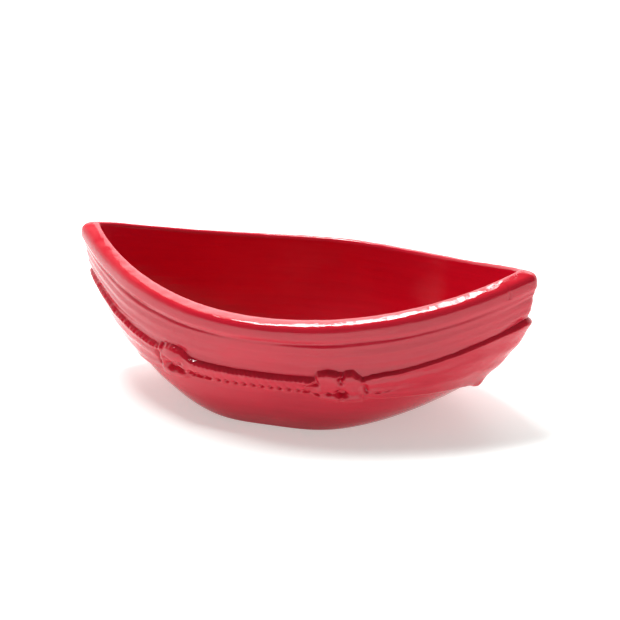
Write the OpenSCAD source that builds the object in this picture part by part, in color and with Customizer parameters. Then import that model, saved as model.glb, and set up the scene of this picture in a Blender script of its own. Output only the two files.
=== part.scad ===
// Canoe-shaped serving dish in glazed earthenware.
// A double-ended hull with a flat foot and a rounded lip carries relief that is formed
// apart and luted to the outside: a twisted rope tied with two knots on each side, and
// a belt of three strips that fans from each knot to a collar round the stem.
// +X is the bow, +Y is port, +Z is up. The origin is the centre of the foot.

/* [Hull] */
// Overall length over the lip, in mm
hull_l = 220; // [183:1:264]
// Overall width over the lip at midship
hull_w = 121.5; // [101:0.5:146]
// Height of the lip's top at midship
hull_h = 56; // [46.5:0.5:67.5]
// How much higher the lip stands at each end
sheer_rise = 15; // [6:0.5:20]
// Height left to the inside floor
floor_t = 7; // [4:0.5:10]

/* [Foot] */
// Length of the flat foot
foot_l = 92; // [77:1:111]
// Width of the flat foot
foot_w = 88; // [73:1:98]

/* [Lip] */
// Thickness of the lip
lip_t = 8; // [6.6:0.1:9.6]
// Thickness of the wall at the foot
wall_t = 6.5; // [5:0.1:8]
// Length of solid clay between the inside corner and each tip
tip_t = 10; // [8:0.5:14]
// Drop from the lip's widest line to the groove below it
groove_drop = 6; // [5:0.5:8]
// Depth of that groove
groove_d = 0.8; // [0.3:0.1:1.2]
// How far the bead above the groove stands out
bead_h = 0.6; // [0.2:0.1:1]

/* [Belt] */
// Height of the belt's upper edge at midship
belt_top_z = 30.5; // [28:0.5:32]
// How much higher that edge is at the stems
belt_top_rise = 18; // [12:0.5:19]
// Height of the belt's lower edge at midship
belt_low_z = 20.5; // [18:0.5:22]
// How much lower that edge is at the stems
belt_low_drop = 6; // [2:0.5:8]
// How far the belt stands out at the ledge along its top
belt_h = 2.8; // [1.8:0.1:3.4]
// How far it stands out along its bottom
belt_low_h = 1.9; // [1.2:0.1:2.6]
// Depth of the pleats between
pleat_d = 0.4; // [0.1:0.1:0.8]
// How far the collars round the stems stand out beyond the strips
collar_extra = 0.3; // [0:0.1:0.8]
// Length of each collar along the side
collar_l = 5; // [4:0.5:8]

/* [Rope and knots] */
// How far the rope stands out
rope_h = 3; // [2:0.1:3.6]
// Height left clear between the belt's lower edge line and the rope
rope_clear = 2.5; // [0:0.5:4]
// Length of one strand's turn
rope_pitch = 4.3; // [3.5:0.1:6]
// How far the knots stand out
knot_h = 4.2; // [3:0.1:5]
// Centre of the knots on the bow half
bow_knot_x = 33; // [28:1:38]
// Length of the knots on the bow half
bow_knot_l = 26; // [20:1:30]
// Centre of the knots on the stern half
stern_knot_x = -44; // [-50:1:-38]
// Length of the knots on the stern half
stern_knot_l = 18; // [14:1:22]

/* [Hidden] */

glaze = [0.70, 0.05, 0.11];

// Resolution: steps along one side, round one stem, and across a relief piece
side_steps = 30;
stem_steps = 4;
belt_steps = 20;
knot_steps = 14;
rope_steps_per_turn = 5;

// Fullness of the side view's and the cross-section's curves, from foot to lip
stem_curve = 1.67;
side_curve = 1.20;
// Plan outline y = (1 - |s|^p)^q, at the foot and at the lip
foot_p = 4;
foot_q = 0.94;
lip_p = 1.80;
lip_q = 0.93;
inner_q = 0.86;
// Power of the sheer, and of the belt's upper and lower edges
sheer_power = 2.62;
top_power = 3;
low_power = 4;
// Clearance between a relief piece and the hull under it, and between pieces end to end
seat = 0.03;
seam = 0.12;
// Thickness that a relief piece keeps at its feathered edges
edge_h = 0.35;
// Width of the groove's and the bead's slopes
groove_w = 1.6;
bead_w = 2.6;

lip_r = lip_t / 2;
lip_a = hull_l / 2 - lip_r;
lip_b = hull_w / 2 - lip_r;
foot_a = foot_l / 2 - lip_r;
foot_b = foot_w / 2 - lip_r;
inner_a = hull_l / 2 - tip_t;
inner_b = hull_w / 2 - lip_t;
inner_floor_a = foot_l / 2 - wall_t;
inner_floor_b = foot_w / 2 - wall_t;

// Stations round the hull: 0 to 2 along starboard from stern to bow, one stem's worth
// round the bow, 2 along port back to the stern, and one stem's worth round the stern.
stem_w = 0.25;
half_turn = 2 + stem_w;
turn = 2 * half_turn;

function wrap(w) = w - turn * floor(w / turn);
function is_port(w) = wrap(w) >= half_turn;
function along(w) = wrap(w) - (is_port(w) ? half_turn : 0);
function on_stem(w) = along(w) > 2;
// Place along the hull from -1 at the stern to 1 at the bow
function s_of(w) = (is_port(w) ? -1 : 1) * (on_stem(w) ? 1 : -cos(90 * along(w)));
function w_of(s, port) = (port ? half_turn : 0) + acos((port ? 1 : -1) * s) / 90;

// Rise of the curve from foot (0) to lip (1) at the height share t
function rise(t, n) = pow(1 - pow(1 - min(1, max(0, t)), n), 1 / n);
function mix(a, b, k) = a + (b - a) * k;
function sheer(s) = pow(abs(s), sheer_power);
function top_z(s) = hull_h + sheer_rise * sheer(s);
function lip_z(s) = top_z(s) - lip_r;

// Half-length, half-width and outline powers of the wall's centre line at height share t
function core_a(t) = mix(foot_a, lip_a, rise(t, stem_curve));
function core_b(t) = mix(foot_b, lip_b, rise(t, side_curve));
function core_y(s, t) =
  let (k = rise(t, side_curve))
  core_b(t) * pow(max(0, 1 - pow(abs(s), mix(foot_p, lip_p, k))), mix(foot_q, lip_q, k));

// Outward direction in plan at a station: it turns round the stem past the tip
nudge = 0.004;
function side_angle(s, t) =
  let (s0 = max(-1, s - nudge), s1 = min(1, s + nudge))
  atan2(core_a(t) * (s1 - s0), core_y(s0, t) - core_y(s1, t));
function plan_angle(w, t) =
  let (s = s_of(w), bow = s > 0)
  on_stem(w)
    ? let (half = side_angle(1 - nudge, t), k = (along(w) - 2) / stem_w)
      (bow ? 0 : 180) + mix(-half, half, k)
    : (is_port(w) ? 1 : -1) * side_angle(s, t);

// A point at station w and height z, standing out by h from the wall's outer face
function skin(w, z, h) =
  let (
    s = s_of(w),
    t = z / lip_z(s),
    y = on_stem(w) ? 0 : core_y(s, t),
    angle = plan_angle(w, t),
    r = lip_r + h
  )
  [
    core_a(t) * s + r * cos(angle),
    (is_port(w) ? y : -y) + r * sin(angle),
    z
  ];

// Heights of the lines that run round the hull
function belt_top(s) = belt_top_z + belt_top_rise * pow(abs(s), top_power);
function belt_low(s) = belt_low_z - belt_low_drop * pow(abs(s), low_power);
function groove_z(s) = lip_z(s) - groove_drop;
// The bead never stands out past the lip at the stems
function bead_out(s, z) = min(bead_h, lip_a - core_a(z / lip_z(s)));

// --- Hull ---

// Rows up the outside: each is a height above the foot and how far it stands out
function outer_row(i, s) =
  let (low = belt_low(s), top = belt_top(s), g = groove_z(s))
  i == 0 ? [0, 0]
  : i == 1 ? [low * 0.12, 0]
  : i == 2 ? [low * 0.40, 0]
  : i == 3 ? [low * 0.70, 0]
  : i == 4 ? [low, 0]
  : i == 5 ? [mix(low, top, 0.5), 0]
  : i == 6 ? [top, 0]
  : i == 7 ? [mix(top, g - groove_w, 0.5), 0]
  : i == 8 ? [g - groove_w, 0]
  : i == 9 ? [g, -groove_d]
  : i == 10 ? [g + groove_w, bead_out(s, g + groove_w)]
  : i == 11 ? [g + groove_w + bead_w, 0]
  : [lip_z(s), 0];
outer_rows = 13;

// Rows over the round lip, and down the inside to the floor
lip_rows = 5;
inner_rows = 7;
function inner_y(s, b, k) =
  b * pow(max(0, 1 - pow(abs(s), mix(foot_p, lip_p, k))), mix(foot_q, inner_q, k));
function inner_point(w, k) =
  let (s = s_of(w), r = rise(k, 2), y = inner_y(s, mix(inner_floor_b, inner_b, r), r))
  [
    s * mix(inner_floor_a, inner_a, r),
    is_port(w) ? y : -y,
    mix(floor_t, lip_z(s), k)
  ];

// Stations of one ring of the hull: the two ends are the stems' own steps
side_w = [for (i = [0 : side_steps - 1]) 2 * i / side_steps];
stem_ws = [for (i = [0 : stem_steps - 1]) 2 + stem_w * i / stem_steps];
half_ws = concat(side_w, stem_ws);
ring_ws = concat(half_ws, [for (w = half_ws) w + half_turn]);
ring_n = len(ring_ws);

// The inside corner is sharp, so the stem's stations share it there and are spread a
// little along the side to keep the rows' points apart.
inside_gap = 0.02;
function inside_w(w) =
  on_stem(w)
    ? let (k = (along(w) - 2) / stem_w, base = is_port(w) ? half_turn : 0)
      k < 0.5
        ? base + 2 - inside_gap * (1 - 2 * k)
        : base + half_turn + inside_gap * (2 * k - 1)
    : let (k = along(w) / 2, base = is_port(w) ? half_turn : 0)
      base + mix(inside_gap, 2 - inside_gap, k);

module hull() {
  outside = [
    for (i = [0 : outer_rows - 1], w = ring_ws)
      let (row = outer_row(i, s_of(w))) skin(w, row[0], row[1])
  ];
  over_lip = [
    for (i = [1 : lip_rows - 1], j = [0 : ring_n - 1])
      let (
        w = ring_ws[j],
        out = skin(w, lip_z(s_of(w)), 0),
        in = inner_point(inside_w(w), 1),
        a = 180 * i / lip_rows
      )
      (out + in) / 2 + (out - in) / 2 * cos(a) + [0, 0, lip_r * sin(a)]
  ];
  inside = [
    for (i = [inner_rows : -1 : 0], w = ring_ws) inner_point(inside_w(w), i / inner_rows)
  ];
  rows = outer_rows + lip_rows - 1 + inner_rows + 1;
  foot_centre = rows * ring_n;
  floor_centre = foot_centre + 1;
  points = concat(outside, over_lip, inside, [[0, 0, 0], [0, 0, floor_t]]);
  walls = [
    for (i = [0 : rows - 2], j = [0 : ring_n - 1])
      let (
        a = i * ring_n + j,
        b = i * ring_n + (j + 1) % ring_n,
        c = a + ring_n,
        d = b + ring_n
      )
      each [[a, c, b], [b, c, d]]
  ];
  foot = [for (j = [0 : ring_n - 1]) [foot_centre, j, (j + 1) % ring_n]];
  last = (rows - 1) * ring_n;
  floor_fan = [
    for (j = [0 : ring_n - 1]) [floor_centre, last + (j + 1) % ring_n, last + j]
  ];
  color(glaze) polyhedron(points, concat(walls, foot, floor_fan));
}

// --- Relief ---

// A piece that lies on the hull from station w0 to w1, between two heights that follow
// the hull. height(u, v, s) is how far it stands out, u along it and v up it, 0 to 1.
module relief(w0, w1, low, top, nu, nv, height) {
  function grid(h_of) = [
    for (i = [0 : nu], j = [0 : nv])
      let (
        u = i / nu,
        v = j / nv,
        w = mix(w0, w1, u),
        s = s_of(w),
        z = mix(low(s), top(s), v)
      )
      skin(w, z, h_of(u, v, s))
  ];
  outer = grid(function(u, v, s) seat + max(edge_h, height(u, v, s)));
  inner = grid(function(u, v, s) seat);
  m = nv + 1;
  n = (nu + 1) * m;
  faces = [
    for (i = [0 : nu - 1], j = [0 : nv - 1])
      let (a = i * m + j, b = a + 1, c = a + m, d = c + 1)
      each [[a, b, c], [b, d, c], [n + a, n + c, n + b], [n + b, n + c, n + d]]
  ];
  ends = [
    for (j = [0 : nv - 1])
      let (a = j, b = j + 1, c = nu * m + j, d = c + 1)
      each [[a, n + a, b], [b, n + a, n + b], [c, d, n + c], [d, n + d, n + c]]
  ];
  edges = [
    for (i = [0 : nu - 1])
      let (a = i * m, c = a + m, b = a + nv, d = c + nv)
      each [[a, c, n + a], [c, n + c, n + a], [b, n + b, d], [d, n + b, n + d]]
  ];
  color(glaze) polyhedron(concat(outer, inner), concat(faces, ends, edges));
}

// Places along the belt as shares of the half-length, from its length at mid-belt height
belt_a = core_a((belt_top_z + belt_low_z) / 2 / lip_z(0));
bow_knot_in = (bow_knot_x - bow_knot_l / 2) / belt_a;
bow_knot_out = (bow_knot_x + bow_knot_l / 2) / belt_a;
stern_knot_in = (stern_knot_x + stern_knot_l / 2) / belt_a;
stern_knot_out = (stern_knot_x - stern_knot_l / 2) / belt_a;
collar_s = 1 - collar_l / belt_a;
seam_s = seam / belt_a;

function dome(v) = sqrt(max(0, 1 - pow(2 * v - 1, 2)));
function bump(d, width) = exp(-pow(d / width, 2));

// The three strips of the belt share the height between its edges
upper_share = 0.66;
lower_share = 0.30;
function belt_at(share) = function(s) mix(belt_low(s), belt_top(s), share);

// How far the belt stands out at share v of its height: a rounded lower edge, soft
// pleats, and a ledge that falls back to the hull over the top of the upper strip. It
// thins towards the stems.
stem_thin = 0.3;
ledge_share = 0.18;
round_share = 0.10;
pleats = 3;
function belt_face(v, s) =
  let (
    thin = 1 - stem_thin * pow(abs(s), top_power),
    foot_round = sqrt(1 - pow(1 - min(1, v / round_share), 2)),
    ledge = min(1, (1 - v) / ledge_share)
  )
  (mix(belt_low_h, belt_h, v) - pleat_d * (0.5 + 0.5 * cos(360 * pleats * v)))
    * foot_round * ledge * thin;

// Station range of one end's strips, from the knot's outer end to the collar
function strip_ws(port, bow) =
  [
    w_of(bow ? bow_knot_out + seam_s : stern_knot_out - seam_s, port),
    w_of(bow ? collar_s - seam_s : seam_s - collar_s, port)
  ];
module strip(port, bow, low_share, top_share, nv) {
  ws = strip_ws(port, bow);
  relief(
    min(ws), max(ws), belt_at(low_share), belt_at(top_share), belt_steps, nv,
    function(u, v, s) belt_face(mix(low_share, top_share, v), s)
  );
}
module upper_wale(port, bow) {
  strip(port, bow, upper_share, 1, 4);
}
module fan(port, bow) {
  strip(port, bow, lower_share, upper_share, 4);
}
module lower_wale(port, bow) {
  strip(port, bow, 0, lower_share, 4);
}

// Two-strand rope in half relief, between the knots' inner ends
rope_l = (bow_knot_in - stern_knot_in) * belt_a;
rope_turns = max(4, round(rope_l / rope_pitch));
module rope(port) {
  ws = [w_of(stern_knot_in + seam_s, port), w_of(bow_knot_in - seam_s, port)];
  low = function(s) belt_low(s) + rope_clear;
  relief(
    min(ws), max(ws), low, belt_at(1), rope_turns * rope_steps_per_turn, 5,
    function(u, v, s)
      let (strand = cos(360 * (rope_turns * u + 0.9 * v)))
      rope_h * dome(v) * (0.85 + 0.15 * strand)
  );
}

// A knot is two crossed bights of the rope with a pit between them
knot_over = 0.18;
module knot(port, bow) {
  ws = [
    w_of(bow ? bow_knot_in : stern_knot_in, port),
    w_of(bow ? bow_knot_out : stern_knot_out, port)
  ];
  relief(
    min(ws), max(ws), belt_at(-knot_over), belt_at(1 + knot_over),
    knot_steps, 10,
    function(u, v, s)
      let (
        a = 2 * u - 1,
        b = 2 * v - 1,
        loops = bump(a - 0.45, 0.30) + bump(a + 0.45, 0.30),
        cross = bump(abs(a) + abs(b) - 0.75, 0.35),
        rim = sqrt(max(0, 1 - a * a)) * sqrt(max(0, 1 - b * b))
      )
      knot_h * rim * min(1, 0.35 + 0.5 * loops + 0.4 * cross)
  );
}

// A collar joins the two sides' strips round a stem, over the belt's full height
collar_steps = 12;
module stem_collar(bow) {
  from = w_of(bow ? collar_s : -collar_s, !bow);
  to = w_of(bow ? collar_s : -collar_s, bow) + (bow ? 0 : turn);
  relief(
    from, to, belt_at(0), belt_at(1), collar_steps, 12,
    function(u, v, s) belt_face(v, s) + collar_extra * dome(u) * dome(v)
  );
}

hull();
rope(false);  // rope_starboard
rope(true);  // rope_port
knot(false, true);  // knot_starboard_bow
knot(false, false);  // knot_starboard_stern
knot(true, true);  // knot_port_bow
knot(true, false);  // knot_port_stern
upper_wale(false, true);  // upper_wale_starboard_bow
upper_wale(false, false);  // upper_wale_starboard_stern
upper_wale(true, true);  // upper_wale_port_bow
upper_wale(true, false);  // upper_wale_port_stern
fan(false, true);  // fan_starboard_bow
fan(false, false);  // fan_starboard_stern
fan(true, true);  // fan_port_bow
fan(true, false);  // fan_port_stern
lower_wale(false, true);  // lower_wale_starboard_bow
lower_wale(false, false);  // lower_wale_starboard_stern
lower_wale(true, true);  // lower_wale_port_bow
lower_wale(true, false);  // lower_wale_port_stern
stem_collar(true);  // stem_collar_bow
stem_collar(false);  // stem_collar_stern
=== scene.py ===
"""Looks of the canoe-shaped serving dish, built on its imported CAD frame.

The dish is a double-ended hull with a thick lip. A belt of luted relief runs round it:
a rope and two knots on each side, three strips that fan from each knot, and a collar
round each stem. Every visible mesh is cut from two grids that follow the CAD surface:
one for the hull, and one for the relief, so neighbours meet without a seam. Lengths are
in millimetres until a mesh or the stage is made, +X is the bow and +Y is port.
"""

import math

import bpy
import numpy as np
from mathutils import Matrix, Vector


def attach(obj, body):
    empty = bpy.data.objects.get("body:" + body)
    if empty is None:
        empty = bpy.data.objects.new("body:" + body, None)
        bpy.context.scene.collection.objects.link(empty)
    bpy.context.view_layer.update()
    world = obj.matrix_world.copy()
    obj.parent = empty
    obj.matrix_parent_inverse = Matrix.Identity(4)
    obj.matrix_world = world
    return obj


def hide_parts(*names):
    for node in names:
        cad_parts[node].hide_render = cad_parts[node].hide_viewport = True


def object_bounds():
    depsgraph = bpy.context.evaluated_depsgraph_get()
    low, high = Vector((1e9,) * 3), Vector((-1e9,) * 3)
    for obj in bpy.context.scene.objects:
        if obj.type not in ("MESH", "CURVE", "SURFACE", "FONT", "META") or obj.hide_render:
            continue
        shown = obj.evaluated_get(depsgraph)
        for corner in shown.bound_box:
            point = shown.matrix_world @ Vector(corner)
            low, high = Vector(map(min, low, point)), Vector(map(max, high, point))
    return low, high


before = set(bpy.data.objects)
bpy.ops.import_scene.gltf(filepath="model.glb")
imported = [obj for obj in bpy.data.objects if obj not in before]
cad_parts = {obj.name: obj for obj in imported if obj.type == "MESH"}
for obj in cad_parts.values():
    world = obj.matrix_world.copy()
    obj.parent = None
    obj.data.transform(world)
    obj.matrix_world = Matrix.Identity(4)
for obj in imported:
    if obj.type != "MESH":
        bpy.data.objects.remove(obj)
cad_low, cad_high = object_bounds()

MM = 0.001

# --- Sizes ---

# The hull's length and beam, from the CAD model's box
HULL_L, HULL_W = (round((cad_high[axis] - cad_low[axis]) / MM, 2) for axis in (0, 1))
# Height amidships, and how the sheer rises from there to the stems
HULL_H = 56.0
SHEER_RISE, SHEER_POWER = 15.0, 2.62
# The foot, and the thickness of the floor, of the wall above it and of the stems' tips
FOOT_L, FOOT_W = 92.0, 88.0
FLOOR_T, WALL_T, TIP_T = 7.0, 6.5, 10.0
# How steeply the stems and the sides leave the foot
STEM_CURVE, SIDE_CURVE = 1.67, 1.20
# Powers of the outline in plan at the foot and at the lip, and inside the lip
FOOT_P, FOOT_Q = 4.0, 0.94
LIP_P, LIP_Q = 1.80, 0.93
INNER_Q = 0.86

# The lip: half its width, and how far its outer shoulder reaches down
LIP_R, LIP_SHOULDER = 4.0, 3.4
# Where its top starts to slope outward (-1 is its inside edge, 1 its outside), the
# drop of that slope, and the slope's power
LIP_CREST, LIP_TILT, LIP_SLOPE_POWER = -0.75, 1.9, 1.15
# Power of its rounding: the higher, the squarer
LIP_SQUARE = 4
# How far its top is worn down
LIP_WEAR = 0.25

# The groove under the lip: drop below the lip's widest line, depth and half width, and
# how far it wanders and jitters
GROOVE_DROP, GROOVE_D, GROOVE_W = 5.6, 0.50, 1.1
GROOVE_WANDER, GROOVE_JITTER = 0.25, 0.06
# The bead between groove and lip
BEAD_H = 0.35
# The hollow under the lip at the stems: drop below the lip, depth and half width
NECK_DROP, NECK_D, NECK_W = 8.5, 0.9, 4.5
# Soft throwing ridges on the strake between the groove and the belt
STRAKE_RIDGES, RIDGE_H = 3.2, 0.13
# A pinhole in the glaze on the starboard bow
PINHOLE_X, PINHOLE_Z, PINHOLE_R, PINHOLE_D = 100.0, 61.0, 0.55, 0.5
# How uneven the hand has left each surface: broad waves, and finer ones
OUTSIDE_WAVES, INSIDE_WAVES, LIP_WAVES = (0.28, 0.10), (0.22, 0.06), (0.14, 0.08)

# The belt's upper and lower edges amidships, and how they part towards the stems
BELT_TOP, BELT_TOP_RISE, BELT_TOP_POWER = 30.4, 18.0, 3.0
BELT_LOW, BELT_LOW_DROP, BELT_LOW_POWER = 20.5, 6.0, 4.0
# How far the belt stands out along its upper and its lower edge
BELT_H, BELT_LOW_H = 2.8, 1.9
# The belt's soft ridges, and the valleys between them
BELT_RIDGES, BELT_VALLEY_D = 3.0, 0.40
# The ledge along the belt's top, the teeth that the rope's strands leave in it, and the
# width of the belt's rounded lower edge
LEDGE_W, TOOTH_W, LOW_EDGE_W = 1.4, 0.34, 1.2
# The rope: its lower edge, how far it stands out there, and the length of a strand
ROPE_LOW, ROPE_LOW_H, ROPE_PITCH = 23.0, 1.55, 4.15
# How far each strand leans over the rope's height, in strands, the depth of the valleys
# between strands, and that of the pits below them
ROPE_LEAN, ROPE_VALLEY_D, PIT_D = 0.45, 0.25, 1.9
# Stretches of the rope and the knots in x: where each fades in, and where it fades out
ROPE_ENDS = (-37, -34), (20, 24)
STERN_KNOT = (-51, -49), (-38, -35)
BOW_KNOT = (22, 26), (43.5, 45.5)
# The low wrapping that a knot's coils swell out of, and the coils' height
KNOT_H, COIL_H = 2.15, 0.95
# The lump of slip low on the bow's stem: how far it stands out, its place and half width
STEM_HEEL_H, STEM_HEEL_Y, STEM_HEEL_Z, STEM_HEEL_R = 1.3, -1, 16.0, 2.4

# The outer surface is kept this far inside the CAD model's box
INSET = 0.35

foot_a, foot_b = FOOT_L / 2 - LIP_R, FOOT_W / 2 - LIP_R
lip_a, lip_b = HULL_L / 2 - LIP_R - INSET, HULL_W / 2 - LIP_R - INSET
inner_a, inner_b = HULL_L / 2 - TIP_T, HULL_W / 2 - 2 * LIP_R
floor_a, floor_b = FOOT_L / 2 - WALL_T, FOOT_W / 2 - WALL_T


def mix(a, b, k):
    return a + (b - a) * k


def smooth(x, low, high):
    """0 below low, 1 above high, and a soft step between."""
    k = np.clip((x - low) / (high - low), 0, 1)
    return k * k * (3 - 2 * k)


def hump(x, width):
    """A soft swelling, 1 at 0 and of a given half width."""
    return np.exp(-((x / width) ** 2))


def rise(t, n):
    """A quarter curve that leaves the foot steeply and reaches the lip upright."""
    return (1 - (1 - np.clip(t, 0, 1)) ** n) ** (1 / n)


# --- Stations round the hull ---
# w runs 0 to 2 along starboard from stern to bow, one stem's worth round the bow,
# 2 along port back to the stern, and one stem's worth round the stern.

# Width of a stem, in stations
STEM_W = 0.25
HALF_TURN = 2 + STEM_W
TURN = 2 * HALF_TURN


def station(w):
    """(place from -1 at the stern to 1 at the bow, on port, way along the half turn)"""
    w = np.mod(w, TURN)
    port = w >= HALF_TURN
    along = w - np.where(port, HALF_TURN, 0)
    s = np.where(along > 2, 1, -np.cos(np.pi / 2 * along))
    return np.where(port, -s, s), port, along


def w_of(s, port):
    """The station at place s on one side."""
    return (HALF_TURN if port else 0) + math.acos(s if port else -s) * 2 / math.pi


def lip_z(s):
    """Height of the lip's widest line."""
    return HULL_H + SHEER_RISE * np.abs(s) ** SHEER_POWER - LIP_R


# The outer surface is a core outline in plan with the lip's radius rounded on. The core
# grows from the foot to the lip, and t is the height as a share of the lip's.

def core_a(t):
    """Half length of the core."""
    return mix(foot_a, lip_a, rise(t, STEM_CURVE))


def core_y(s, t):
    """Half breadth of the core at place s."""
    k = rise(t, SIDE_CURVE)
    outline = np.maximum(0, 1 - np.abs(s) ** mix(FOOT_P, LIP_P, k))
    return mix(foot_b, lip_b, k) * outline ** mix(FOOT_Q, LIP_Q, k)


NUDGE = 0.004


def side_angle(s, t):
    """The way that the port side faces at place s, in plan."""
    s0, s1 = np.maximum(-1, s - NUDGE), np.minimum(1, s + NUDGE)
    return np.arctan2(core_a(t) * (s1 - s0), core_y(s0, t) - core_y(s1, t))


def skin(w, z, out=0.0):
    """The outer surface at station w and height z, moved outward in plan."""
    s, port, along = station(w)
    t = z / lip_z(s)
    on_stem = along > 2
    half = side_angle(np.full_like(t, 1 - NUDGE), t)
    turned = np.where(s > 0, 0, np.pi) + mix(-half, half, (along - 2) / STEM_W)
    angle = np.where(on_stem, turned, np.where(port, 1, -1) * side_angle(s, t))
    y = np.where(on_stem, 0, core_y(s, t) * np.where(port, 1, -1))
    r = LIP_R + out
    return np.stack(
        np.broadcast_arrays(core_a(t) * s + r * np.cos(angle), y + r * np.sin(angle), z),
        axis=-1,
    )


def inner_skin(w, k):
    """The inside surface, from the floor's edge at k 0 to the lip at k 1."""
    s, port, _ = station(w)
    r = rise(k, 2)
    outline = np.maximum(0, 1 - np.abs(s) ** mix(FOOT_P, LIP_P, r))
    y = mix(floor_b, inner_b, r) * outline ** mix(FOOT_Q, INNER_Q, r)
    x = s * mix(floor_a, inner_a, r)
    return np.stack([x, np.where(port, y, -y), mix(FLOOR_T, lip_z(s), k)], axis=-1)


def even_stations(spacing, trials=8001):
    """Stations a given distance apart along the lip's widest line."""
    w = np.linspace(0, TURN, trials)
    s = station(w)[0]
    steps = np.linalg.norm(np.diff(skin(w, lip_z(s)), axis=0), axis=1)
    run = np.concatenate([[0], np.cumsum(steps)])
    count = int(round(run[-1] / spacing))
    return np.interp(np.arange(count) * run[-1] / count, run, w)


# --- Hand-made unevenness ---

rng = np.random.default_rng(7)


def waves(count, shortest, longest, stretch):
    """A soft random field over points: sine waves of random heading, drawn out in plan."""
    heading = rng.normal(size=(count, 3))
    heading /= np.linalg.norm(heading, axis=1)[:, None]
    length = np.exp(rng.uniform(np.log(shortest), np.log(longest), count))
    k = heading * (2 * np.pi / length)[:, None] * np.array([1 / stretch, 1 / stretch, 1])
    phase = rng.uniform(0, 2 * np.pi, count)
    size = (length / longest) ** 0.5

    def field(p):
        total = np.zeros(p.shape[:-1])
        for n in range(count):
            total += size[n] * np.sin(p @ k[n] + phase[n])
        return total / math.sqrt(count)

    return field


body_waves = waves(count=14, shortest=22, longest=60, stretch=1.5)
hand_waves = waves(count=22, shortest=5, longest=14, stretch=3.5)
edge_waves = waves(count=16, shortest=3, longest=9, stretch=1.0)


def normals_of(p):
    """Unit normals of a grid of points whose columns close into a ring."""
    along = np.roll(p, -1, axis=0) - np.roll(p, 1, axis=0)
    n = np.cross(along, np.gradient(p, axis=1))
    return n / np.maximum(np.linalg.norm(n, axis=-1), 1e-9)[..., None]


def uneven(p, depths):
    """Broad and fine waves left by the hand."""
    broad, fine = depths
    return broad * body_waves(p) + fine * hand_waves(p)


def groove_z(s):
    """Height of the groove's middle."""
    return lip_z(s) - GROOVE_DROP


def groove_and_bead(p, s):
    """A wandering groove, faint at the bow, and the bead that stands above it."""
    d = p[..., 2] - groove_z(s)
    d = d - GROOVE_WANDER * body_waves(p * 1.5) - GROOVE_JITTER * edge_waves(p)
    groove = -GROOVE_D * hump(d, GROOVE_W) * (0.8 + 0.35 * body_waves(p * 1.2))
    groove = groove * (1 - 0.7 * smooth(s, 0.3, 0.65))
    runs_out = smooth(d, 2.5, 6) * smooth(np.abs(s), 0.5, 0.9)
    bead = BEAD_H * smooth(d, -0.4, 2.4) * (1 - runs_out)
    at_stem = smooth(np.abs(s), 0.78, 1.0)
    return (groove + bead) * (1 - 0.7 * at_stem)


def throwing_ridges(p, s):
    """Uneven ridges along the strake."""
    share = (p[..., 2] - belt_top(s)) / (groove_z(s) - belt_top(s))
    ridge = np.cos(2 * np.pi * (STRAKE_RIDGES * share + 0.25 * body_waves(p * 0.8)))
    on_strake = smooth(share, -0.1, 0.15) * (1 - smooth(share, 0.85, 1.0))
    return ridge * (RIDGE_H * on_strake * (0.7 + 0.5 * body_waves(p * 0.7)))


def outer_detail(p, s):
    """How far the outer surface stands off its plain shape."""
    x, y, z = p[..., 0], p[..., 1], p[..., 2]
    hand_made = smooth(z, 1, 8) * uneven(p, OUTSIDE_WAVES)
    marks = hand_made + throwing_ridges(p, s)
    from_pinhole = np.hypot(x - PINHOLE_X, z - PINHOLE_Z)
    pinhole = -PINHOLE_D * hump(from_pinhole, PINHOLE_R) * (y < 0)
    at_tip = smooth(np.abs(s), 0.85, 1.0)
    neck = -NECK_D * at_tip * hump(z - lip_z(s) + NECK_DROP, NECK_W)
    return groove_and_bead(p, s) + marks + pinhole + neck


# --- Relief ---

def belt_top(s):
    """Height of the belt's upper edge."""
    return BELT_TOP + BELT_TOP_RISE * np.abs(s) ** BELT_TOP_POWER


def belt_low(s):
    """Height of the belt's lower edge."""
    return BELT_LOW - BELT_LOW_DROP * np.abs(s) ** BELT_LOW_POWER


# What the knots add to the belt's upper and lower edges along a side, as (x, height)
TOP_STEPS = [
    (-55, 0), (-52.5, 0.4), (-50.8, 0.3), (-49.4, 1.2), (-47.6, 3.3), (-43, 3.8),
    (-39.2, 3.3), (-37.4, 2.0), (-35, 0.5), (-32, 0), (18, 0), (24.2, 0.2), (26.4, 3.3),
    (30.5, 3.8), (33.6, 3.2), (35.4, 0.4), (36.4, 0.7), (38, 3.2), (40.6, 3.3), (43, 0.6),
    (44.6, -1.2), (46.4, -0.4), (49, 0),
]
LOW_STEPS = [
    (-52, 0), (-48, -0.6), (-42, -0.4), (-37, 0.2), (-33, 1.0), (21, 1.0), (24, 0.4),
    (26, -1.0), (34, -1.6), (42, -1.3), (44.5, -0.4), (46.5, 0),
]

# Coils of the knots, as (x, z, half length, half height, share of their full height)
COILS = [
    (30.4, 29.6, 5.6, 5.6, 1.0),
    (39.6, 28.8, 4.6, 6.2, 1.0),
    (36.0, 20.8, 9.5, 2.6, 0.75),
    (25.2, 25.4, 3.0, 2.8, 0.75),
    (-43.4, 30.6, 6.4, 4.6, 1.0),
    (-49.0, 27.4, 2.4, 5.6, 0.8),
    (-42.0, 21.8, 8.0, 2.6, 0.75),
    (-37.0, 27.2, 3.0, 3.0, 0.7),
]

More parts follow.
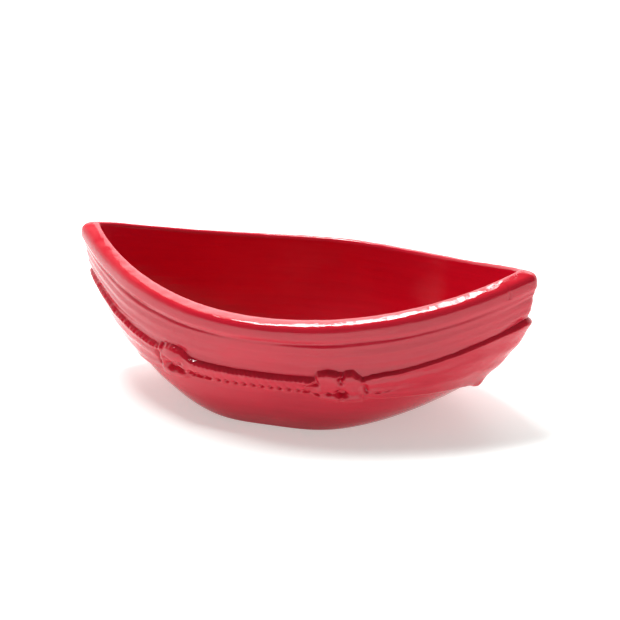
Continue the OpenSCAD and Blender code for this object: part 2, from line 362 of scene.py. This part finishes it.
# Hollows left between the coils, as (x, z, half length, half height, depth, tilt)
HOLLOWS = [
    (-44.4, 25.4, 2.6, 1.9, 3.2, -12),
    (-39.8, 24.8, 2.6, 1.0, 2.0, -4),
    (-34.6, 24.6, 1.2, 0.9, 1.6, 0),
    (-30.6, 23.8, 1.7, 1.2, 2.2, 0),
    (-26.5, 23.4, 1.4, 1.0, 1.8, 0),
    (35.6, 23.6, 2.2, 1.7, 3.4, 0),
    (30.2, 23.4, 0.9, 0.6, 1.3, 0),
    (35.5, 20.6, 0.8, 0.6, 1.2, 0),
    (20.2, 23.3, 1.8, 1.0, 1.9, -8),
    (25.0, 22.9, 1.5, 0.8, 1.6, -8),
    (50.2, 24.0, 1.7, 0.45, 1.1, 4),
    (53.9, 24.6, 1.7, 0.4, 0.8, 6),
]

# Creases where coils cross, as (points, half width, depth)
CREASES = [
    ([(-51.8, 30.6), (-51.4, 28), (-50.0, 25.2)], 0.7, 1.8),
    ([(27.5, 23.5), (33, 23.7)], 0.5, 0.4),
    ([(45.2, 28.2), (45.8, 24.6)], 0.7, 1.5),
    ([(24.6, 31.2), (26.0, 28.4), (20.5, 27.0)], 0.6, 1.0),
    ([(35.4, 31.2), (35.8, 29.4)], 0.9, 1.5),
    ([(-47.5, 29.6), (-43, 28.2), (-38.5, 28.0)], 0.6, 0.7),
]

# Lumps that stand on the knots, written as the hollows are
LUMPS = [
    (-50.4, 33.4, 1.0, 1.0, 2.6, 0),
    (35.5, 32.4, 0.9, 0.9, 2.6, 0),
    (44.0, 25.0, 0.9, 4.2, 0.7, -6),
    (22.4, 28.6, 1.4, 1.0, 0.8, 20),
]


def steps_at(table, x):
    """A table's height at x, with a soft step from each point to the next."""
    xs, zs = (np.array(column, float) for column in zip(*table))
    n = np.clip(np.searchsorted(xs, x) - 1, 0, len(xs) - 2)
    return mix(zs[n], zs[n + 1], smooth(x, xs[n], xs[n + 1]))


def stretch_of(x, ends):
    """1 on a stretch of the side, and 0 past its soft ends."""
    start, end = ends
    return smooth(x, *start) * (1 - smooth(x, *end))


def dome(x, z, cx, cz, rx, rz):
    """A flat-topped swelling, 1 in the middle and 0 at its oval edge."""
    return np.clip(1 - (((x - cx) / rx) ** 2 + ((z - cz) / rz) ** 2) ** 1.3, 0, 1)


def dent(x, z, cx, cz, rx, rz, depth, tilt):
    """An oval hollow of the relief, tilted up towards the bow by tilt, in degrees."""
    c, n = math.cos(math.radians(tilt)), math.sin(math.radians(tilt))
    u, v = (x - cx) * c + (z - cz) * n, (z - cz) * c - (x - cx) * n
    return depth * np.exp(-((u / rx) ** 2 + (v / rz) ** 2) ** 1.4)


def crease(x, z, points, width, depth):
    """A groove of the relief along a line of points."""
    near = np.full(x.shape, 1e9)
    for (x0, z0), (x1, z1) in zip(points, points[1:]):
        dx, dz = x1 - x0, z1 - z0
        k = np.clip(((x - x0) * dx + (z - z0) * dz) / (dx * dx + dz * dz), 0, 1)
        near = np.minimum(near, np.hypot(x - x0 - k * dx, z - z0 - k * dz))
    return depth * hump(near, width)


def belt_face(p, s, v):
    """Height of the belt outside the knots: soft ridges, lower towards the stems."""
    x = p[..., 0]
    stem = smooth(np.abs(s), 0.92, 1.0)
    far = np.abs(s) ** 3
    ridges = 0.5 + 0.5 * np.cos(2 * np.pi * (BELT_RIDGES * v + 0.12 * edge_waves(p * 0.6)))
    valley_d = BELT_VALLEY_D - np.where(x > 0, 0.05, 0.25) * far
    belt = mix(BELT_LOW_H, BELT_H, v) - valley_d * (1 - ridges)
    belt = belt + 0.5 * stem * hump(v, 0.2)
    return belt * (1 - 0.5 * far * (x < 0) - 0.3 * smooth(x, 44, 70) * (1 - stem))


def rope_face(x, z):
    """Height of the rope: slanting strands, and a pit under each valley."""
    f = np.clip((z - ROPE_LOW) / (BELT_TOP - ROPE_LOW), 0, 1)
    turn = x / ROPE_PITCH + ROPE_LEAN * f
    from_valley = (turn - np.round(turn)) * ROPE_PITCH
    body = ROPE_LOW_H + (BELT_H - ROPE_LOW_H) * smooth(f, 0, 0.8)
    pits = PIT_D * hump(from_valley, 0.95) * hump(z - ROPE_LOW - 0.3, 0.8)
    return body - ROPE_VALLEY_D * hump(from_valley, 0.6) - pits


def knot_face(p):
    """Height of the knots: coils that swell out of a low wrapping."""
    x, z = p[..., 0], p[..., 2]
    coils = np.maximum.reduce([
        share * dome(x, z, cx, cz, rx, rz) for cx, cz, rx, rz, share in COILS
    ])
    return KNOT_H + COIL_H * coils - 0.22 * hand_waves(p * 1.5)


def relief_height(p, s):
    """How far the relief stands out of the hull at each point of the grid."""
    x, z = p[..., 0], p[..., 2]
    side = 1 - smooth(np.abs(s), 0.72, 0.80)
    far = np.abs(s) ** 3
    ragged = 0.12 * edge_waves(p * 1.3)
    low = belt_low(s) + side * steps_at(LOW_STEPS, x)
    top = belt_top(s) + side * steps_at(TOP_STEPS, x) + ragged
    v = np.clip((z - belt_low(s)) / (belt_top(s) - belt_low(s)), 0, 1)

    # The face: belt outside the knots, and rope and knots between
    on_rope = stretch_of(x, ROPE_ENDS) * side
    on_knot = np.maximum(stretch_of(x, STERN_KNOT), stretch_of(x, BOW_KNOT)) * side
    face = mix(mix(belt_face(p, s, v), rope_face(x, z), on_rope), knot_face(p), on_knot)

    # The edges: a serrated ledge that slopes down and outward, and a rounded foot
    teeth = TOOTH_W * np.cos(2 * np.pi * x / (ROPE_PITCH / 2)) * (1 - smooth(x, 30, 60))
    ledge_w = LEDGE_W - 0.5 * far + teeth + 0.10 * edge_waves(p * 0.9)
    ledge = np.clip((top - z) / ledge_w, 0, 1)
    ledge = ledge * (1.25 - 0.25 * ledge)
    foot_w = LOW_EDGE_W + 0.6 * far
    foot = np.sqrt(np.clip(1 - (1 - np.clip((z - low) / foot_w, 0, 1)) ** 2, 0, 1))

    # Hollows, creases and lumps, as the maker left them
    hollows = sum(dent(x, z, *hollow) for hollow in HOLLOWS)
    cut = sum((crease(x, z, *fold) for fold in CREASES), hollows)
    lumps = sum(dent(x, z, *lump) for lump in LUMPS)
    from_heel = np.hypot(p[..., 1] - STEM_HEEL_Y, z - STEM_HEEL_Z)
    heel = STEM_HEEL_H * hump(from_heel, STEM_HEEL_R) * (x > 0)
    height = np.maximum(face * ledge * foot - side * cut * foot * ledge, 0)
    return height + side * lumps + heel


def soften(a, times_along, times_up):
    """A small blur along the hull, and up it, as a coat of glaze rounds what it covers."""
    for _ in range(times_along):
        a = (np.roll(a, 1, axis=0) + 2 * a + np.roll(a, -1, axis=0)) / 4
    for _ in range(times_up):
        b = np.pad(a, ((0, 0), (1, 1)), mode="edge")
        a = (b[:, :-2] + 2 * b[:, 1:-1] + b[:, 2:]) / 4
    return a


# --- Meshes ---

def new_piece(name, points, faces, material, nodes, marks, normals=None, drawn=0):
    """A mesh that rides on the root body and replaces CAD nodes. The marks are numbers
    at its points that the glaze reads. Where normals are given, the first faces, drawn
    of them, take their shading from those, and the rest stay flat."""
    mesh = bpy.data.meshes.new(name)
    mesh.from_pydata((points * MM).tolist(), [], faces)
    mesh.polygons.foreach_set("use_smooth", [True] * len(faces))
    for mark, values in marks.items():
        mesh.attributes.new(mark, "FLOAT", "POINT").data.foreach_set("value", values)
    mesh.materials.append(material)
    mesh.update()
    if normals is not None:
        vertex = np.zeros(len(mesh.loops), int)
        mesh.loops.foreach_get("vertex_index", vertex)
        total = np.array([len(f) for f in faces])
        flat = np.zeros(len(faces) * 3)
        mesh.polygons.foreach_get("normal", flat)
        own = np.repeat(flat.reshape(-1, 3), total, axis=0)
        is_drawn = np.repeat(np.arange(len(faces)) < drawn, total)
        given = normals[np.minimum(vertex, len(normals) - 1)]
        mesh.normals_split_custom_set(np.where(is_drawn[:, None], given, own).tolist())
    piece = bpy.data.objects.new(name, mesh)
    bpy.context.scene.collection.objects.link(piece)
    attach(piece, "root")
    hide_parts(*nodes)
    return piece


def level_of(p, s):
    """Height as a share of the sheer's, so that brush marks follow the lip; the painted
    shade towards the foot reads it too.
    """
    return p[..., 2] / lip_z(s) * HULL_H


def grid_faces(columns, rows, closed):
    """Quads of a grid whose points are stored column by column."""
    last = columns if closed else columns - 1
    return [
        (i * rows + j, (i + 1) % columns * rows + j,
         (i + 1) % columns * rows + j + 1, i * rows + j + 1)
        for i in range(last) for j in range(rows - 1)
    ]


# --- Hull ---

# Distance between stations, along the lip
STATION_STEP = 0.62
stations = even_stations(STATION_STEP)
place = station(stations)[0]

# The rounding of the foot's edge, the inner edge of its unglazed ring as a share of the
# foot, how much narrower the recess inside it is, and the recess's depth
FOOT_ROUND, FOOT_RING, RECESS_TAPER, FOOT_RECESS = 0.8, 0.90, 0.97, 0.8
# The fine rows of the neck begin this far below the groove
NECK_START = 3.5
# Rows of points round the foot's edge, up the side and the neck, over the lip and down
# the inside, and rings across the floor and the underside
EDGE_ROWS, SIDE_ROWS, NECK_ROWS, LIP_ROWS, INSIDE_ROWS = 5, 58, 27, 31, 42
FLOOR_RINGS, UNDER_RINGS = 9, 6


def outer_rows():
    """Points up the outside, from the foot to the lip's shoulder."""
    w = stations[:, None]
    s = place[:, None]
    around = np.linspace(0, np.pi / 2, EDGE_ROWS)
    foot_z = FOOT_ROUND * (1 - np.cos(around))[None, :-1]
    break_z = groove_z(s) - NECK_START
    side_z = mix(FOOT_ROUND, break_z, np.linspace(0, 1, SIDE_ROWS)[None, :-1])
    neck_z = mix(break_z, lip_z(s) - LIP_SHOULDER, np.linspace(0, 1, NECK_ROWS)[None, :])
    z = np.concatenate([foot_z + 0 * s, side_z, neck_z], axis=1)
    under = np.clip(1 - z / FOOT_ROUND, 0, 1)
    plain = skin(w, z, FOOT_ROUND * (np.sqrt(1 - under ** 2) - 1))
    return plain + outer_detail(plain, s)[..., None] * normals_of(plain)


def inner_rows():
    """Points from the lip's inside edge down to the floor's edge."""
    theta = np.linspace(np.pi / 2, 0, INSIDE_ROWS)[None, :]
    plain = inner_skin(stations[:, None], 1 - np.cos(theta))
    still = smooth(theta, 0, 0.5) * smooth(np.pi / 2 - theta, 0, 0.15)
    bump = still * uneven(plain, INSIDE_WAVES)
    return plain - bump[..., None] * normals_of(plain)


def lip_rows(outside, inside):
    """Points over the lip, whose flat top slopes outward to a tall, round shoulder."""
    phi = np.linspace(0, np.pi, LIP_ROWS)[None, 1:-1, None]
    out, come = outside[:, -1:], inside[:, :1]
    a = np.sign(np.cos(phi)) * np.abs(np.cos(phi)) ** 0.8
    rounding = (1 - np.abs(a) ** LIP_SQUARE) ** (1 / LIP_SQUARE)
    shoulder = LIP_R + LIP_SHOULDER - LIP_TILT
    z = np.where(a > 0, shoulder * rounding + LIP_R - shoulder, LIP_R * rounding)
    sloped = np.clip(a - LIP_CREST, 0, None) / (1 - LIP_CREST)
    z = z - LIP_TILT * sloped ** LIP_SLOPE_POWER
    lip = (out + come) / 2 + (out - come) / 2 * a
    lip[..., 2:] = lip_z(place)[:, None, None] + z
    broad, fine = LIP_WAVES
    worn = fine * edge_waves(lip * 0.8) + broad * body_waves(lip)
    lip[..., 2] += worn * np.sin(phi[..., 0]) - LIP_WEAR
    return lip


def rings(edge, count, height):
    """Rings from an edge in to the middle, without the middle point."""
    scale = np.linspace(1, 0, count + 1)[None, 1:-1, None]
    inward = edge[:, None] * scale
    inward[..., 2] = height
    return inward


# Marks for the glaze, below 0 in hollows and above 0 on edges: how strong the mark along
# the lip's edge is, at which angle round the lip and how wide, and that of bare clay
LIP_MARK, LIP_MARK_AT, LIP_MARK_W = 0.75, 1.3, 1.0
BARE_MARK = -2


def hull_crest(below, outside, lip, shape):
    """The hull's marks. The bare ring and the outside begin after the rows below."""
    crest = np.zeros(shape)
    lip_at = below + outside.shape[1]
    detail = outer_detail(outside, place[:, None])
    crest[:, below:lip_at] = detail - soften(detail, 2, 60)
    around = np.linspace(0, np.pi, lip.shape[1])
    lip_mark = LIP_MARK * hump(around - LIP_MARK_AT, LIP_MARK_W)
    crest[:, lip_at:lip_at + lip.shape[1]] = lip_mark
    crest[:, below - 2:below + 1] = BARE_MARK
    return crest


def build_hull(material):
    """One closed mesh: underside, foot, outside, lip, inside and floor."""
    outside, inside = outer_rows(), inner_rows()
    lip = lip_rows(outside, inside)
    floor = rings(inside[:, -1], FLOOR_RINGS, FLOOR_T)
    ring_edge = outside[:, 0] * FOOT_RING
    recess = ring_edge * RECESS_TAPER + np.array([0, 0, FOOT_RECESS])
    under = rings(recess, UNDER_RINGS, FOOT_RECESS)
    grid = np.concatenate(
        [under[:, ::-1], recess[:, None], ring_edge[:, None], outside, lip, inside, floor],
        axis=1,
    )
    columns, rows = grid.shape[:2]
    points = np.concatenate([
        grid.reshape(-1, 3), [[0, 0, FOOT_RECESS], [0, 0, FLOOR_T]],
    ])
    under_middle, floor_middle = columns * rows, columns * rows + 1
    faces = grid_faces(columns, rows, True)
    for i in range(columns):
        k = (i + 1) % columns
        faces.append((under_middle, k * rows, i * rows))
        faces.append((floor_middle, i * rows + rows - 1, k * rows + rows - 1))
    crest = hull_crest(under.shape[1] + 2, outside, lip, (columns, rows))
    level = level_of(grid, place[:, None])
    marks = {
        "crest": np.concatenate([crest.ravel(), [0, 0]]),
        "level": np.concatenate([level.ravel(), [0, 0]]) * MM,
    }
    return new_piece("hull_shell", points, faces, material, ["hull"], marks)


# --- Belt of relief ---

# The grid reaches this far below and above the belt, and the pieces root this far down
BELOW, ABOVE, ROOT = 3.5, 6.2, 1.2
# Where the relief runs out it dips this far under the hull's skin, and how quickly
DIVE, DIVE_OVER = 0.28, 0.12
# Rows of points below, across and above the belt; those across crowd towards its ledge
ROWS_BELOW, ROWS_ACROSS, ROWS_ABOVE = 10, 46, 20
across = 1 - (1 - np.linspace(0, 1, ROWS_ACROSS)) ** 1.25


def relief_grid():
    """(shown points, their normals, points under the hull's skin, marks, levels)"""
    s = place[:, None]
    low, top = belt_low(s), belt_top(s)
    z = np.concatenate([
        low - BELOW * np.linspace(1, 0, ROWS_BELOW + 1)[None, :-1],
        mix(low, top, across[None, :]),
        top + ABOVE * np.linspace(0, 1, ROWS_ABOVE + 1)[None, 1:],
    ], axis=1)
    plain = skin(stations[:, None], z)
    out = normals_of(plain)
    base = plain + outer_detail(plain, s)[..., None] * out
    height = soften(relief_height(plain, s), 1, 1)
    crest = height - soften(height, 6, 10)
    lifted = height - DIVE * np.exp(-height / DIVE_OVER)
    shown = base + lifted[..., None] * out
    return shown, normals_of(shown), base - ROOT * out, crest, level_of(plain, s)


def row_at(share):
    """The grid's row at a share of the belt's height."""
    return ROWS_BELOW + int(np.abs(across - share).argmin())


def build_patch(name, w_from, w_to, row_from, row_to, grids, material):
    """A closed solid cut from the relief grid between two stations and two rows."""
    shown, normals, root, crest, level = grids
    count = len(stations)
    first = int(np.abs(stations - w_from % TURN).argmin())
    last = int(np.abs(stations - w_to % TURN).argmin())
    columns = np.arange(first, last + 1 if last > first else last + 1 + count) % count
    rows = np.arange(row_from, row_to + 1)
    pick = np.ix_(columns, rows)
    c, r = len(columns), len(rows)
    low_root = root[columns, row_from]
    top_root = root[columns, row_to]
    points = np.concatenate([shown[pick].reshape(-1, 3), low_root, top_root])
    faces = grid_faces(c, r, False)
    drawn = len(faces)
    low, top = c * r, c * r + c
    for i in range(c - 1):
        a, b = i * r, (i + 1) * r
        faces.append((low + i, low + i + 1, b, a))
        faces.append((a + r - 1, b + r - 1, top + i + 1, top + i))
        faces.append((top + i, top + i + 1, low + i + 1, low + i))
    end = (c - 1) * r
    faces.append((low, *range(r), top))
    faces.append((top + c - 1, *range(end + r - 1, end - 1, -1), low + c - 1))
    marks = {
        "crest": np.concatenate([crest[pick].ravel(), np.zeros(2 * c)]),
        "level": np.concatenate([level[pick].ravel(), np.zeros(2 * c)]) * MM,
    }
    shading = normals[pick].reshape(-1, 3)
    return new_piece(
        name + "_relief", points, faces, material, [name], marks,
        shading, drawn,
    )


# Where the belt is cut: the ends of the bow's and the stern's knots in x, the length of a
# stem's collar, and the strips' edges as shares of the belt's height
BOW_CUTS, STERN_CUTS, COLLAR_L = (20, 46), (-35, -53), 5
LOWER_SHARE, UPPER_SHARE = 0.30, 0.66
# The outer strips and the collars reach this many rows past the belt
MARGIN_ROWS = 5

belt_a = float(core_a(np.array((BELT_TOP + BELT_LOW) / 2 / (HULL_H - LIP_R))))
bow_in, bow_out = (x / belt_a for x in BOW_CUTS)
stern_in, stern_out = (x / belt_a for x in STERN_CUTS)
collar = 1 - COLLAR_L / belt_a


def build_belt(material):
    """The rope, the knots, the strips and the collars, cut from one grid."""
    grids = relief_grid()

    def patch(name, w_ends, row_ends):
        build_patch(name, *w_ends, *row_ends, grids, material)

    every = 0, ROWS_BELOW + ROWS_ACROSS + ROWS_ABOVE - 1
    foot_row = ROWS_BELOW - MARGIN_ROWS
    head_row = ROWS_BELOW + ROWS_ACROSS + MARGIN_ROWS
    lower, upper = row_at(LOWER_SHARE), row_at(UPPER_SHARE)
    strips = {
        "lower_wale": (foot_row, lower),
        "fan": (lower, upper),
        "upper_wale": (upper, head_row),
    }
    for side, port in (("starboard", False), ("port", True)):
        def span(s0, s1):
            return sorted((w_of(s0, port), w_of(s1, port)))
        patch(f"rope_{side}", span(stern_in, bow_in), every)
        patch(f"knot_{side}_bow", span(bow_in, bow_out), every)
        patch(f"knot_{side}_stern", span(stern_out, stern_in), every)
        for strip, rows in strips.items():
            patch(f"{strip}_{side}_bow", span(bow_out, collar), rows)
            patch(f"{strip}_{side}_stern", span(-collar, stern_out), rows)
    both = foot_row, head_row
    patch("stem_collar_bow", (w_of(collar, False), w_of(collar, True)), both)
    patch("stem_collar_stern", (w_of(-collar, True), w_of(-collar, False)), both)


# --- Materials ---

class Nodes:
    """A small helper that adds and links the nodes of one material."""

    def __init__(self, name):
        self.material = bpy.data.materials.new(name)
        self.material.use_nodes = True
        self.tree = self.material.node_tree
        self.tree.nodes.clear()

    def add(self, kind, inputs=None, **settings):
        node = self.tree.nodes.new(kind)
        for key, value in settings.items():
            setattr(node, key, value)
        for key, value in (inputs or {}).items():
            if isinstance(value, bpy.types.NodeSocket):
                self.tree.links.new(value, node.inputs[key])
            else:
                node.inputs[key].default_value = value
        return node

    def noise(self, vector, scale, detail=3.0, roughness=0.55):
        inputs = {
            "Vector": vector, "Scale": scale, "Detail": detail, "Roughness": roughness,
        }
        return self.add("ShaderNodeTexNoise", inputs).outputs["Fac"]

    def stretched(self, vector, scale):
        node = self.add("ShaderNodeMapping", {"Vector": vector, "Scale": scale})
        return node.outputs["Vector"]

    def map_range(self, value, low, high, to_low, to_high):
        inputs = {
            "Value": value, "From Min": low, "From Max": high,
            "To Min": to_low, "To Max": to_high,
        }
        return self.add("ShaderNodeMapRange", inputs).outputs["Result"]

    def math(self, operation, a, b):
        return self.add("ShaderNodeMath", {0: a, 1: b}, operation=operation).outputs[0]

    def mix_colour(self, fac, a, b):
        node = self.add("ShaderNodeMix", {"Factor": fac}, data_type="RGBA")
        for socket, value in ((node.inputs[6], a), (node.inputs[7], b)):
            if isinstance(value, bpy.types.NodeSocket):
                self.tree.links.new(value, socket)
            else:
                socket.default_value = value
        return node.outputs[2]


RED = (0.70, 0.008, 0.034, 1)
DEEP_RED = (0.53, 0.004, 0.025, 1)
# Pooled glaze, also used as painted shade in hollows and towards the foot
POOL_AND_SHADE_RED = (0.28, 0.002, 0.012, 1)
THIN_RED = (0.76, 0.018, 0.034, 1)
CLAY = (0.60, 0.42, 0.30, 1)

# Grain of the glaze, per metre: brush streaks drawn out along the sheer, clouds of
# colour, the crawled surface on edges, and breaks in the sheen
STREAK_SCALE = (16, 16, 330)
CLOUD_SCALE, CRAWL_SCALE, SHEEN_SCALE = 26, 380, 160
# Painted shade: the glaze is darkened below this height, in metres, most at the foot; the
# inside floor lies below it too and is darkened as well
FOOT_SHADE_TOP, FOOT_SHADE = 0.015, 0.6
GLAZE_IOR = 1.55
# Roughness that bare clay adds to that of the glaze
CLAY_ROUGH = 0.5


def glaze_material(name):
    """Red glaze over clay: pooled and with painted shade in hollows, painted shade towards
    the foot, thin and lighter on edges.
    """
    n = Nodes(name)
    where = n.add("ShaderNodeTexCoord").outputs["Object"]
    crest = n.add("ShaderNodeAttribute", attribute_name="crest").outputs["Fac"]
    level = n.add("ShaderNodeAttribute", attribute_name="level").outputs["Fac"]
    x, y, _ = n.add("ShaderNodeSeparateXYZ", {"Vector": where}).outputs
    flow = n.add("ShaderNodeCombineXYZ", {"X": x, "Y": y, "Z": level})
    streaks = n.noise(n.stretched(flow.outputs[0], STREAK_SCALE), 1.0, 5.0, 0.6)
    clouds = n.noise(where, CLOUD_SCALE)
    crawl = n.noise(where, CRAWL_SCALE, 3.0, 0.6)

    # Colour: hollows get pooled glaze and painted shade, and the foot gets painted shade
    hollow_pool_and_shade = n.map_range(crest, -0.2, -1.2, 0.0, 1.0)
    # Painted shade towards the foot, and over the low inside floor
    foot_shade = n.map_range(level, FOOT_SHADE_TOP, 0.0, 0.0, FOOT_SHADE)
    thin = n.map_range(crest, 0.1, 0.9, 0.0, 0.8)
    bare = n.map_range(crest, -1.6, -1.9, 0.0, 1.0)
    tone = n.map_range(n.math("ADD", streaks, clouds), 0.75, 1.25, 0.0, 0.5)
    colour = n.mix_colour(tone, RED, DEEP_RED)
    colour = n.mix_colour(n.math("MAXIMUM", hollow_pool_and_shade, foot_shade), colour, POOL_AND_SHADE_RED)
    colour = n.mix_colour(thin, colour, THIN_RED)
    colour = n.mix_colour(bare, colour, CLAY)

    # Sheen
    sheen_break = n.math("ADD", streaks, n.noise(where, SHEEN_SCALE))
    roughness = n.map_range(sheen_break, 0.75, 1.3, 0.04, 0.16)
    roughness = n.math("ADD", roughness, n.math("MULTIPLY", bare, CLAY_ROUGH))

    # Fine relief: streaks and clouds all over, and a crawled surface where it is thin
    crawled = n.math("MULTIPLY", crawl, n.map_range(thin, 0.0, 0.6, 0.15, 0.7))
    brushed, clouded = n.math("MULTIPLY", streaks, 1.3), n.math("MULTIPLY", clouds, 0.6)
    height = n.math("ADD", n.math("ADD", brushed, clouded), crawled)
    bump = n.add("ShaderNodeBump", {"Strength": 0.4, "Distance": 0.0004, "Height": height})
    shader = n.add("ShaderNodeBsdfPrincipled", {
        "Base Color": colour, "Roughness": roughness, "IOR": GLAZE_IOR,
        "Normal": bump.outputs["Normal"],
    })
    n.add("ShaderNodeOutputMaterial", {"Surface": shader.outputs[0]})
    return n.material


# Two pale tones of the floor, and the light that it gives off
FLOOR_DARK, FLOOR_LIGHT = (0.77, 0.84, 0.83, 1), (0.79, 0.86, 0.85, 1)
TABLE_LIGHT, LIT_TABLE = (0.98, 1.0, 0.97, 1), 0.42


def floor_material():
    """A pale table, lit a little from below."""
    n = Nodes("pale_floor")
    where = n.add("ShaderNodeTexCoord").outputs["Object"]
    tone = n.map_range(n.noise(where, 3), 0.3, 0.7, 0.0, 1.0)
    shader = n.add("ShaderNodeBsdfPrincipled", {
        "Base Color": n.mix_colour(tone, FLOOR_DARK, FLOOR_LIGHT),
        "Roughness": 0.9, "Specular IOR Level": 0.0,
        "Emission Color": TABLE_LIGHT, "Emission Strength": LIT_TABLE,
    })
    n.add("ShaderNodeOutputMaterial", {"Surface": shader.outputs[0]})
    return n.material


# --- Stage, in metres ---

FLOOR_HALF = 3.0


def build_floor():
    """A flat square that the dish stands on."""
    signs = [(-1, -1), (1, -1), (1, 1), (-1, 1)]
    corners = [(i * FLOOR_HALF, j * FLOOR_HALF, 0) for i, j in signs]
    mesh = bpy.data.meshes.new("floor")
    mesh.from_pydata(corners, [], [(0, 1, 2, 3)])
    mesh.materials.append(floor_material())
    floor = bpy.data.objects.new("floor", mesh)
    bpy.context.scene.collection.objects.link(floor)


# Soft boxes: name, place, width and depth, and brightness. The one overhead draws the
# white line along the lip, and the one behind fills the lip's sloping top.
SOFTBOXES = [
    ("overhead", (-0.32, 0.2, 1.2), (0.66, 0.28), 28.0),
    ("back", (-0.2, 0.8, 0.95), (1.2, 0.8), 2.6),
]


def build_softbox(name, location, size, radiance):
    """A rectangular light of a given brightness, turned towards the dish's foot."""
    light = bpy.data.lights.new(name, "AREA")
    light.shape = "RECTANGLE"
    light.size, light.size_y = size
    light.energy = radiance * math.pi * size[0] * size[1]
    lamp = bpy.data.objects.new(name, light)
    lamp.location = location
    lamp.rotation_euler = (-Vector(location)).to_track_quat("-Z", "Y").to_euler()
    bpy.context.scene.collection.objects.link(lamp)


# The tent's brightness, that of the dim room on the camera's side, the way to the room's
# middle, and the cosines to it at which the room is dimmest and at which the tent is full
SWEEP, ROOM = 1.4, 0.13
ROOM_HEADING = (0.25, -0.72, 0.65)
ROOM_CORE, ROOM_EDGE = 0.45, -0.45
TENT_TINT = (1.0, 0.995, 0.985, 1)


def build_world():
    """A bright tent round the dish, open to a dim room on the camera's side."""
    world = bpy.data.worlds.new("studio")
    bpy.context.scene.world = world
    world.use_nodes = True
    tree = world.node_tree
    tree.nodes.clear()
    coordinates = tree.nodes.new("ShaderNodeTexCoord")
    towards = tree.nodes.new("ShaderNodeVectorMath")
    towards.operation = "DOT_PRODUCT"
    towards.inputs[1].default_value = ROOM_HEADING
    tree.links.new(coordinates.outputs["Generated"], towards.inputs[0])
    level = tree.nodes.new("ShaderNodeMapRange")
    level.interpolation_type = "SMOOTHSTEP"
    limits = {
        "From Min": ROOM_EDGE, "From Max": ROOM_CORE, "To Min": SWEEP, "To Max": ROOM,
    }
    for key, value in limits.items():
        level.inputs[key].default_value = value
    tree.links.new(towards.outputs["Value"], level.inputs["Value"])
    background = tree.nodes.new("ShaderNodeBackground")
    tree.links.new(level.outputs["Result"], background.inputs["Strength"])
    background.inputs["Color"].default_value = TENT_TINT
    output = tree.nodes.new("ShaderNodeOutputWorld")
    tree.links.new(background.outputs[0], output.inputs["Surface"])


# The camera, fitted to the rim: turn from the starboard beam towards the bow, rise and
# roll in degrees, distance from its aim on the dish's middle line, lens and framing
CAMERA_TURN, CAMERA_RISE, CAMERA_ROLL = 20.32, 20.32, -0.63
CAMERA_AWAY, CAMERA_AIM_Z = 1.1942, 0.05325
CAMERA_LENS, CAMERA_SENSOR = 153.04, 36.0
CAMERA_SHIFT = (0.01006, -0.04647)
CAMERA_CLIP = (0.05, 50)


def build_camera():
    """The photograph's view."""
    turn, up = math.radians(CAMERA_TURN), math.radians(CAMERA_RISE)
    level = math.cos(up)
    back = Vector((math.sin(turn) * level, -math.cos(turn) * level, math.sin(up)))
    data = bpy.data.cameras.new("camera")
    data.lens, data.sensor_width = CAMERA_LENS, CAMERA_SENSOR
    data.shift_x, data.shift_y = CAMERA_SHIFT
    data.clip_start, data.clip_end = CAMERA_CLIP
    camera = bpy.data.objects.new("camera", data)
    aim = Vector((0, 0, CAMERA_AIM_Z))
    face = back.to_track_quat("Z", "Y").to_matrix().to_4x4()
    roll = Matrix.Rotation(math.radians(CAMERA_ROLL), 4, "Z")
    camera.matrix_world = Matrix.Translation(aim + CAMERA_AWAY * back) @ face @ roll
    bpy.context.scene.collection.objects.link(camera)
    bpy.context.scene.camera = camera


# --- Scene ---

build_camera()
build_hull(glaze_material("glaze_red"))
build_belt(glaze_material("glaze_red_relief"))
build_floor()
build_world()
for softbox in SOFTBOXES:
    build_softbox(*softbox)
bpy.context.scene.view_settings.view_transform = "Standard"
